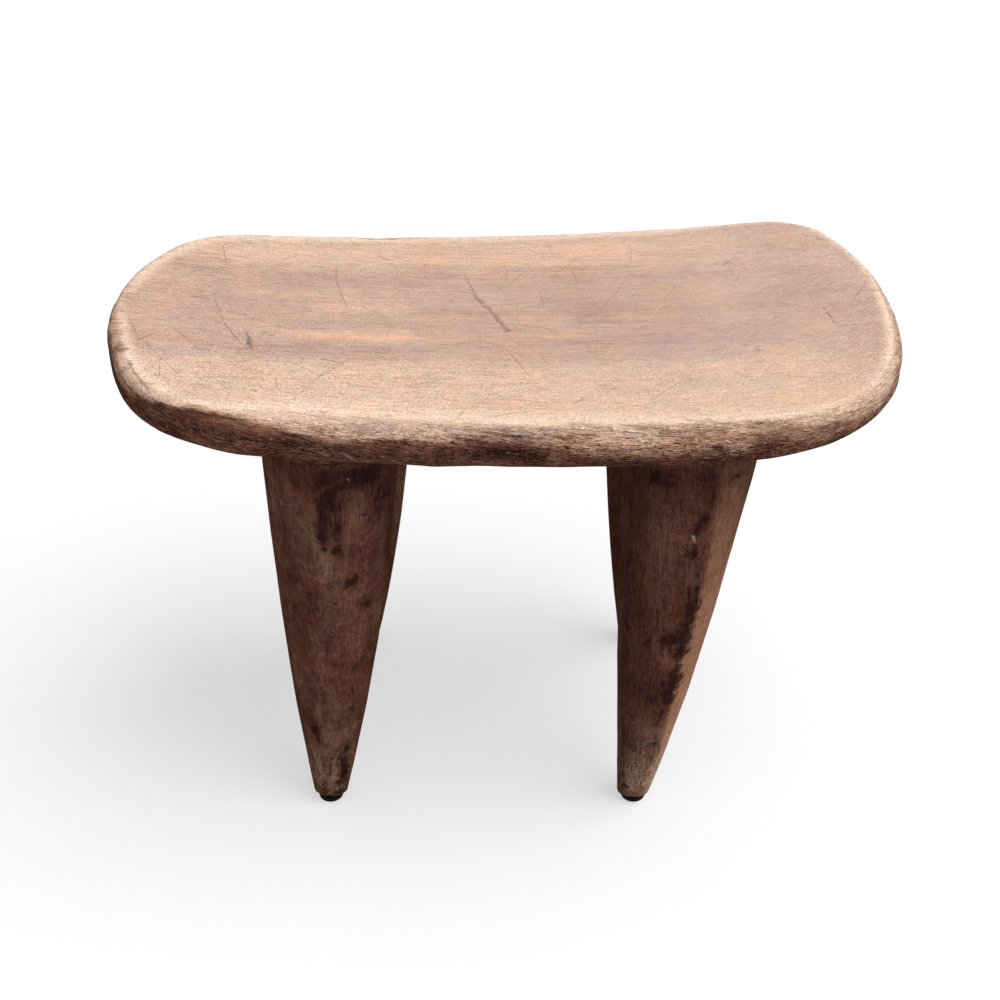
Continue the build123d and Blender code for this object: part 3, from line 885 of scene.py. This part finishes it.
class Tree:
    """A few short calls for building the nodes of a material or world."""

    def __init__(self, owner):
        owner.use_nodes = True
        self.owner = owner
        self.nodes = owner.node_tree.nodes
        self.shader = self.nodes.get("Principled BSDF")

    def put(self, socket, value):
        if isinstance(value, bpy.types.NodeSocket):
            self.owner.node_tree.links.new(value, socket)
        elif value is not None:
            socket.default_value = value

    def make(self, kind, inputs=None, **settings):
        """Make a node with these settings, and with values or links for its inputs."""
        made = self.nodes.new(kind)
        for name, value in settings.items():
            setattr(made, name, value)
        for socket, value in (inputs or {}).items():
            self.put(made.inputs[socket], value)
        return made

    def get(self, kind, inputs=None, **settings):
        """Return a new node's first output."""
        return self.make(kind, inputs, **settings).outputs[0]

    def math(self, operation, a, b=None, clamp=False):
        return self.get("ShaderNodeMath", {0: a, 1: b}, operation=operation, use_clamp=clamp)

    def add(self, *terms):
        total = terms[0]
        for term in terms[1:]:
            total = self.math("ADD", total, term)
        return total

    def times(self, a, b):
        return self.math("MULTIPLY", a, b)

    def centred(self, value, share):
        """Return how far a value from 0 to 1 is from its middle, times a share."""
        return self.get("ShaderNodeMath", {0: value, 1: share, 2: -0.5 * share}, operation="MULTIPLY_ADD")

    def swayed(self, start, *pairs):
        """Return start, moved by values from 0 to 1, each with the share that it has in this."""
        return self.add(start, *(self.centred(value, share) for value, share in pairs))

    def scaled(self, place, factors):
        return self.get("ShaderNodeVectorMath", {0: place, 1: factors}, operation="MULTIPLY")

    def split(self, vector):
        return self.make("ShaderNodeSeparateXYZ", {0: vector}).outputs

    def kept(self, name, output="Fac"):
        return self.make("ShaderNodeAttribute", attribute_name=name).outputs[output]

    def noise(self, place, sizes, detail=2, roughness=0.5, warp=0):
        """sizes are a feature's lengths along each axis, in the unit of place."""
        return self.get("ShaderNodeTexNoise", {
            "Vector": self.scaled(place, tuple(1 / size for size in sizes)),
            "Scale": 1, "Detail": detail, "Roughness": roughness, "Distortion": warp,
        })

    def spread(self, value, low, high, to_low=0, to_high=1, kind="LINEAR"):
        """Return the value taken from low and high to to_low and to_high, and held between them."""
        ends = {"From Min": low, "From Max": high, "To Min": to_low, "To Max": to_high}
        return self.get("ShaderNodeMapRange", {"Value": value, **ends}, interpolation_type=kind)

    def texture(self, place, sizes, low, high, *how):
        """Return noise from 0 to 1. how is its detail, roughness and warp."""
        return self.spread(self.noise(place, sizes, *how), low, high)

    def patchy(self, name, terms, *ends):
        """Return a kept value broken up by the sum of some textures, whose spread ends gives."""
        return self.math("MULTIPLY", self.kept(name), self.spread(self.add(*terms), *ends), True)

    def blend(self, share, a, b, kind="MIX"):
        """Return the colour a, turned to b by a share."""
        inputs = {0: share, 6: rgba(a), 7: rgba(b)}
        return self.make("ShaderNodeMix", inputs, data_type="RGBA", blend_type=kind).outputs[2]

    def coat(self, under, cover, share, colour):
        """Return the colour under a coat of another, as thick as cover times share."""
        return self.blend(self.times(cover, share), under, colour)

    def blend_value(self, share, a, b):
        return self.get("ShaderNodeMix", {0: share, 2: a, 3: b}, data_type="FLOAT")

    def ramp(self, value, *stops):
        made = self.make("ShaderNodeValToRGB", {0: value})
        elements = made.color_ramp.elements
        while len(elements) < len(stops):
            elements.new(0.5)
        for element, (place, colour) in zip(elements, stops):
            element.position = place
            element.color = rgba(colour)
        return made.outputs[0]

    def object_place(self):
        """Return the place in mm."""
        return self.scaled(self.make("ShaderNodeTexCoord").outputs["Object"], (1 / MM,) * 3)

    def set_shader(self, colour, roughness, specular):
        self.put(self.shader.inputs["Base Color"], colour)
        self.put(self.shader.inputs["Roughness"], roughness)
        self.put(self.shader.inputs["Specular IOR Level"], specular)

    def finish(self, colour, roughness, height, specular):
        """Join colour, roughness and a height in mm to the shader, and return the material."""
        self.set_shader(colour, roughness, specular)
        bump = self.get("ShaderNodeBump", {"Strength": 1, "Distance": MM, "Height": height})
        self.put(self.shader.inputs["Normal"], bump)
        return self.owner


# The wood's bands, streaks, fibres and pores: their sizes in mm with the first along the grain, the part of
# the noise that counts, and its detail, roughness and warp. The carved side has short strokes in their place.
GRAIN = (
    ((230, 17, 17), 0.34, 0.66, 2, 0.5, 0.3),
    ((75, 3.4, 3.4), 0.34, 0.66, 3, 0.55, 0.25),
    ((16, 0.95, 0.95), 0.32, 0.68, 2, 0.6, 0.2),
    ((9, 0.55, 0.55), 0.62, 0.74, 1, 0.5, 0),
)
STROKES = (
    ((60, 22, 9), 0.34, 0.66, 3, 0.55, 0.4),
    ((24, 4.5, 2.1), 0.34, 0.66, 3, 0.6, 0.5),
    ((7, 0.8, 0.6), 0.32, 0.68, 2, 0.65, 0.6),
    ((4.5, 0.7, 0.5), 0.62, 0.74, 1, 0.5, 0.8),
)


class WoodTree(Tree):
    """The wood's nodes, with the places and textures that its layers share."""

    def __init__(self):
        super().__init__(bpy.data.materials.new("carved_wood"))
        self.on_leg = self.kept("on_leg")
        self.on_side = self.kept("on_side")
        self.place = self.object_place()
        self.rim_place = self.kept("rim_grain", "Vector")
        seat, leg = (self.kept(name, "Vector") for name in ("seat_grain", "leg_grain"))
        grains = []
        for long, short in zip(GRAIN, STROKES):
            grain = self.texture(seat, *long)
            grain = self.blend_value(self.on_side, grain, self.texture(self.rim_place, *short))
            grains.append(self.blend_value(self.on_leg, grain, self.texture(leg, *long)))
        self.bands, self.streaks, self.fibres, self.pores = grains
        self.cloudy = self.texture(self.place, (42, 42, 42), 0.3, 0.7, 4, 0.55)
        self.mottled = self.texture(self.place, (9, 7, 8), 0.3, 0.7, 4, 0.65)
        self.speckled = self.texture(self.place, (1.45, 1.25, 1.35), 0.3, 0.7, 2, 0.65)
        self.nicks = self.noise(self.rim_place, (3.8, 1.3, 1.1), 2, 0.6, 0.8)
        self.mixed = (self.streaks, self.mottled, self.cloudy)


def pale_wood(t):
    """Return the colour of the pale worn wood of the top, with painted highlights towards its rims and on its
    crest and shoulder, and its smoke stains.
    """
    hatched = t.kept("hatched")
    turned = {"Vector": t.place, "Angle": math.radians(-38)}
    turned = t.get("ShaderNodeVectorRotate", turned, rotation_type="Z_AXIS")
    strokes = t.texture(turned, (9, 1.7, 4), 0.34, 0.66, 3, 0.6, 0.8)
    mix = t.add(
        t.swayed(0.5, (t.bands, 0.2), (t.fibres, 0.16), (t.mottled, 0.2), (t.cloudy, 0.26)),
        t.times(hatched, t.add(0.11, t.centred(strokes, 0.3))),
        t.times(t.centred(t.streaks, 0.22), t.add(1, t.times(hatched, -0.6))),
    )
    pale = t.ramp(mix, (0.22, (0.5, 0.325, 0.262)), (0.5, (0.645, 0.425, 0.335)), (0.78, (0.77, 0.51, 0.385)))
    smoke = t.patchy("smoke", t.mixed, 0.6, 2.2, 0.4, 1.2)
    warm = t.patchy("warm", (t.streaks, t.bands), 0.3, 1.6, 0.4, 1.1)
    # Painted highlights towards the front and rear rims
    front = t.patchy("edge_glow", t.mixed, 0.4, 2, 0.5, 1.1)
    rear = t.patchy("rear_glow", (t.streaks, t.mottled), 0.3, 1.5, 0.4, 1.1)
    pale = t.coat(pale, smoke, 0.72, (0.505, 0.375, 0.338))
    pale = t.coat(pale, warm, 0.9, (0.95, 0.57, 0.37))
    pale = t.coat(pale, front, 0.8, (0.87, 0.6, 0.45))
    pale = t.coat(pale, rear, 0.55, (0.9, 0.605, 0.44))
    dusty = t.ramp(mix, (0.2, (0.52, 0.37, 0.31)), (0.8, (0.72, 0.52, 0.43)))
    pale = t.coat(pale, hatched, t.add(0.5, t.times(t.kept("edge_glow"), -0.45)), dusty)
    tinted = t.texture(t.place, (40, 20, 24), 0.34, 0.66, 3, 0.55)
    pale = t.blend(1, pale, t.blend(tinted, (1.035, 1, 0.955), (0.97, 1, 1.045)), "MULTIPLY")

    # The crest, worn pale and with a painted highlight, falls off quickly outwards and slowly inwards
    crest_gap = t.swayed(t.kept("crest_gap"), (t.mottled, 3), (t.streaks, 1.6))
    crest_width = t.kept("crest_width")
    inward, outward = (t.math("DIVIDE", crest_gap, t.times(crest_width, side)) for side in (-2.4, 0.9))
    crest = t.spread(t.math("MAXIMUM", inward, outward), 1, 0, kind="SMOOTHSTEP")
    pale = t.coat(pale, t.times(crest, t.kept("on_top")), 0.85, (0.98, 0.735, 0.565))
    # The shoulder's colour: partly wear, and partly a painted highlight that lightens its sloping face
    # against its shade
    shoulder = t.ramp(
        t.swayed(0.5, (t.streaks, 0.6), (t.fibres, 0.35), (t.mottled, 0.4)),
        (0.15, (0.52, 0.335, 0.24)), (0.5, (0.79, 0.54, 0.39)), (0.85, (0.96, 0.7, 0.52)),
    )
    return t.coat(pale, t.kept("shoulder"), 0.85, shoulder), smoke


def dark_wood(t):
    """Return the colour of the dark old wood below the rim, with painted shade at the legs' roots and inner
    sides, and its pale spots and pale facet, both partly painted light.
    """
    lengthwise = t.blend_value(t.on_leg, 1, 0.45)
    mix = t.add(
        0.5,
        t.times(t.swayed(t.centred(t.bands, 0.24), (t.streaks, 0.34), (t.fibres, 0.2)), lengthwise),
        t.times(t.centred(t.mottled, 0.44), t.add(1, t.times(t.on_side, 0.5))),
        t.times(t.centred(t.cloudy, 0.42), t.add(1, t.times(t.on_side, 0.3))),
    )
    dark = t.ramp(
        mix, (0.14, (0.075, 0.0275, 0.0185)), (0.5, (0.145, 0.0565, 0.038)), (0.86, (0.242, 0.108, 0.072))
    )
    # Feet painted paler downwards: partly wear and dust, partly painted light from the floor and away from
    # the seat's shadow
    foot_wear = t.kept("foot_wear")
    # Pale spots, partly wear and partly painted light
    light = t.patchy("light", t.mixed, 0.4, 2.2, 0.35, 1.25)
    dark = t.blend(light, dark, t.blend(foot_wear, (0.34, 0.19, 0.12), (0.5, 0.33, 0.24)))
    foot = t.patchy("foot_wear", (t.streaks, t.centred(t.mottled, 0.6)), 0.25, 0.85, 0, 1.1)
    dim = t.patchy("dark_side", (t.mottled, t.cloudy), 0.2, 1.6, 0.6, 1.1)
    facet = t.patchy("pale_side", t.mixed, 0.2, 2.4, 0.5, 1.15)
    dark = t.coat(dark, foot, 0.7, (0.31, 0.18, 0.118))
    # Painted shade round the legs' roots, under the seat
    dark = t.coat(dark, t.kept("root"), 0.25, (0.05, 0.0165, 0.014))
    # Painted shade on the legs' inner sides
    dark = t.coat(dark, dim, 0.38, (0.034, 0.0095, 0.0065))
    # The front right leg's outer facet painted pale: partly wear, partly painted light from the right
    dark = t.coat(dark, facet, 0.9, t.blend(foot_wear, (0.52, 0.262, 0.158), (0.6, 0.4, 0.28)))
    return dark, light, facet


def worn_share(t, name, ragged):
    """Return from 0 to 1 how far the wood is worn past one of the rim's lines."""
    gap = t.math("DIVIDE", t.add(t.kept(f"{name}_gap"), ragged), t.kept(f"{name}_fade"))
    return t.spread(gap, -1, 1, kind="SMOOTHSTEP")


def scratched(t, colour, worn):
    """Return the colour with its scratches, the short palest ones being painted glints, and the depth of
    their grooves from 0 to 1.
    """
    dark_marks, pale_marks, groove = 0, 0, 0
    wobble = t.times(t.add(t.noise(t.place, (6, 6, 6), 2), -0.5), 2.4)
    broken = t.spread(t.noise(t.place, (5, 5, 5), 3, 0.6), 0.36, 0.54, 0.35, 1)
    for channel in range(CHANNELS):
        across, sure, tone = t.split(t.kept(f"marks_{channel}", "Vector"))
        off = t.math("ABSOLUTE", t.add(across, wobble))
        line = t.times(t.spread(off, 0.2, 1.5, 1, 0, kind="SMOOTHSTEP"), t.times(sure, broken))
        tone = t.times(line, tone)
        dark_marks = t.math("MAXIMUM", dark_marks, t.times(tone, -1))
        pale_marks = t.math("MAXIMUM", pale_marks, tone)
        groove = t.math("MAXIMUM", groove, line)
    dark_tone = t.blend(worn, (0.02, 0.01, 0.01), (0.3, 0.195, 0.165))
    pale_tone = t.blend(worn, (0.46, 0.32, 0.25), (0.9, 0.67, 0.53))
    colour = t.blend(t.math("MULTIPLY", dark_marks, 1.1, True), colour, dark_tone)
    return t.blend(t.math("MULTIPLY", pale_marks, 1, True), colour, pale_tone), groove


def carved_wood():
    t = WoodTree()
    pale, smoke = pale_wood(t)
    dark, light, facet = dark_wood(t)

    # The two meet in a rough brown edge
    ragged = t.add(t.centred(t.streaks, 3), t.centred(t.fibres, 0.8), t.centred(t.mottled, 3.4))
    ragged = t.times(ragged, t.kept("ragged"))
    half_worn = worn_share(t, "brown", ragged)
    worn = worn_share(t, "pale", ragged)
    brown = t.ramp(
        t.swayed(0.5, (t.streaks, 0.6), (t.fibres, 0.3), (t.mottled, 0.4)),
        (0.15, (0.22, 0.105, 0.066)), (0.5, (0.415, 0.224, 0.147)), (0.85, (0.68, 0.435, 0.315)),
    )
    # The brown edge takes the same pale spots, partly painted light
    brown = t.coat(brown, light, 0.55, (0.62, 0.4, 0.29))
    colour = t.blend(worn, t.blend(half_worn, dark, brown), pale)
    reddish = t.patchy("reddish", (t.streaks, t.mottled), 0.3, 1.6, 0.3, 1.1)
    colour = t.coat(colour, reddish, 0.6, (0.33, 0.135, 0.07))
    # Painted grey shade along the shoulder
    ashy = t.patchy("ashy", (t.streaks, t.fibres), 0.3, 1.6, 0.3, 1.15)
    colour = t.coat(colour, ashy, 0.7, (0.285, 0.195, 0.17))
    # Stains, with the seat's painted shadow at the legs' tops
    stain_edge = t.swayed(t.kept("stain"), (t.mottled, 0.8), (t.streaks, 0.35), (t.speckled, 0.3))
    sharp_stain = t.spread(stain_edge, 0.3, 0.8, kind="SMOOTHSTEP")
    stain = t.blend_value(t.on_leg, t.spread(stain_edge, 0.25, 0.95), sharp_stain)
    colour = t.coat(colour, stain, 0.86, (0.027, 0.0105, 0.0115))

    # Fine fibres, pores and specks
    fine = t.add(
        t.times(t.add(t.fibres, -0.5), t.add(0.22, t.times(t.on_side, 0.45), t.times(t.on_leg, 0.2))),
        t.centred(t.speckled, 0.5),
        t.times(t.pores, t.add(-0.12, t.times(t.on_side, -0.2))),
    )
    grit = t.times(t.kept("grit"), t.add(1, t.times(facet, -0.35)))
    textured = {0: colour, "Scale": t.add(1, t.times(fine, grit))}
    colour = t.get("ShaderNodeVectorMath", textured, operation="SCALE")

    # Nicks in the side and shoulder, pale where fresh, with painted glints among them, and dark where old
    fresh = t.times(t.spread(t.nicks, 0.645, 0.7), t.on_side)
    colour = t.coat(colour, fresh, 0.6, t.blend(half_worn, (0.56, 0.36, 0.255), (0.94, 0.7, 0.54)))
    old = t.times(t.spread(t.nicks, 0.35, 0.28), t.on_side)
    colour = t.coat(colour, old, 0.3, t.blend(half_worn, (0.03, 0.011, 0.009), (0.44, 0.29, 0.22)))
    colour, groove = scratched(t, colour, worn)

    shares = ((t.fibres, -0.1), (t.mottled, 0.12), (worn, -0.05), (stain, -0.1), (smoke, -0.05))
    rough = t.add(0.7, *(t.times(value, share) for value, share in shares))
    coarse = t.add(t.times(t.fibres, 0.08), t.times(t.streaks, 0.12), t.times(t.mottled, 0.18))
    height = t.add(
        t.times(coarse, t.spread(worn, 0, 1, 1.6, 0.7)),
        t.times(t.pores, -0.08),
        t.times(t.speckled, 0.05),
        t.times(groove, -0.18),
        t.times(t.times(t.spread(t.nicks, 0.3, 0.7), t.on_side), 0.35),
    )
    return t.finish(colour, rough, height, 0)


def glide_plastic():
    t = Tree(bpy.data.materials.new("glide_plastic"))
    place = t.object_place()
    cloudy = t.texture(place, (4, 4, 4), 0.3, 0.7, 4, 0.6)
    scuffs = t.texture(place, (7, 0.5, 0.5), 0.56, 0.7, 3, 0.6, 0.8)
    dust = t.texture(place, (1.1, 1.1, 1.1), 0.52, 0.72, 4, 0.7)
    low = t.spread(t.split(place)[2], 2.6, 0.2)
    colour = t.blend(cloudy, (0.0035, 0.003, 0.0035), (0.009, 0.0075, 0.0085))
    colour = t.coat(colour, scuffs, 0.5, (0.035, 0.032, 0.031))
    dusty = t.math("MULTIPLY", dust, t.add(0.12, t.times(low, 0.3)), True)
    colour = t.blend(dusty, colour, (0.12, 0.095, 0.078))
    rough = t.add(0.5, t.times(scuffs, 0.22), t.times(dust, 0.14), t.times(cloudy, 0.08))
    height = t.add(t.times(cloudy, 0.04), t.times(scuffs, -0.05), t.times(dust, 0.02))
    return t.finish(colour, rough, height, 0.05)


def nail_steel():
    t = Tree(bpy.data.materials.new("nail_steel"))
    t.put(t.shader.inputs["Metallic"], 1)
    place = t.object_place()
    drawn = t.texture(place, (0.25, 0.25, 6), 0.35, 0.65, 3, 0.6)
    tarnish = t.texture(place, (1.6, 1.6, 1.6), 0.45, 0.68, 4, 0.65)
    colour = t.blend(drawn, (0.42, 0.42, 0.43), (0.58, 0.58, 0.58))
    colour = t.coat(colour, tarnish, 0.7, (0.19, 0.12, 0.085))
    rough = t.add(0.3, t.times(drawn, 0.12), t.times(tarnish, 0.35))
    height = t.add(t.times(drawn, 0.015), t.times(tarnish, 0.03))
    return t.finish(colour, rough, height, 0.5)


def dress(obj, material):
    obj.data.materials.clear()
    obj.data.materials.append(material)


wood = carved_wood()
plastic = glide_plastic()
steel = nail_steel()
dress(carved, wood)
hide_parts("stool_block")
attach(carved, "root")
for name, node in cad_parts.items():
    if name.startswith("glide_nail_"):
        dress(node, steel)
    elif name.startswith("glide_"):
        dress(node, plastic)
    else:
        dress(node, wood)

# Floor, light and camera. The floor glows in the picture but gives no light, and the lamp lies in the
# direction KEY_TOWARD from the stool.
FLOOR_REACH = 14
FLOOR_GLOW = 0.54
WORLD_LIGHT = 0.34
KEY_TOWARD = (0.5, -0.12, 1)
KEY_STRENGTH = 2.35
KEY_SPREAD = math.radians(55)
SENSOR_WIDTH = 36
WHITE = (1, 1, 1, 1)


def make_floor():
    mesh = bpy.data.meshes.new("floor")
    turns = ((-1, -1), (1, -1), (1, 1), (-1, 1))
    mesh.from_pydata([(FLOOR_REACH * u, FLOOR_REACH * v, 0) for u, v in turns], [], [(0, 1, 2, 3)])
    floor = link(bpy.data.objects.new("floor", mesh))
    t = Tree(bpy.data.materials.new("floor_paper"))
    t.set_shader((0.5, 0.5, 0.5, 1), 0.95, 0)
    path = t.make("ShaderNodeLightPath").outputs
    seen = t.math("MAXIMUM", path["Is Camera Ray"], path["Is Glossy Ray"])
    glow = t.get("ShaderNodeEmission", {"Color": WHITE, "Strength": t.times(seen, FLOOR_GLOW)})
    both = t.get("ShaderNodeAddShader", {0: t.shader.outputs[0], 1: glow})
    t.put(t.nodes["Material Output"].inputs["Surface"], both)
    dress(floor, t.owner)


def make_world():
    t = Tree(bpy.data.worlds.new("studio"))
    bpy.context.scene.world = t.owner
    path = t.make("ShaderNodeLightPath").outputs
    seen = t.math("MAXIMUM", path["Is Camera Ray"], path["Is Glossy Ray"])
    seen = t.math("MAXIMUM", seen, path["Is Transmission Ray"])
    back = t.nodes["Background"].inputs
    t.put(back["Color"], WHITE)
    t.put(back["Strength"], t.spread(seen, 0, 1, WORLD_LIGHT, 1))


def make_key_light():
    light = bpy.data.lights.new("key", "SUN")
    light.energy = KEY_STRENGTH
    light.angle = KEY_SPREAD
    lamp = link(bpy.data.objects.new("key", light))
    lamp.rotation_mode = "QUATERNION"
    lamp.rotation_quaternion = Vector(KEY_TOWARD).to_track_quat("Z", "Y")


def make_camera():
    lens = bpy.data.cameras.new("camera")
    lens.sensor_fit = "AUTO"
    lens.sensor_width = SENSOR_WIDTH
    lens.lens = SENSOR_WIDTH * FOCAL_PIXELS / (2 * PICTURE_MIDDLE)
    lens.clip_start = 0.05
    lens.clip_end = 100
    camera = link(bpy.data.objects.new("camera", lens))
    camera.location = Vector(CAMERA_AT * MM)
    camera.rotation_euler = (math.pi / 2 - CAMERA_PITCH, 0, 0)
    bpy.context.scene.camera = camera


make_floor()
make_world()
make_key_light()
make_camera()
bpy.context.scene.view_settings.view_transform = "Standard"

bpy.context.view_layer.update()
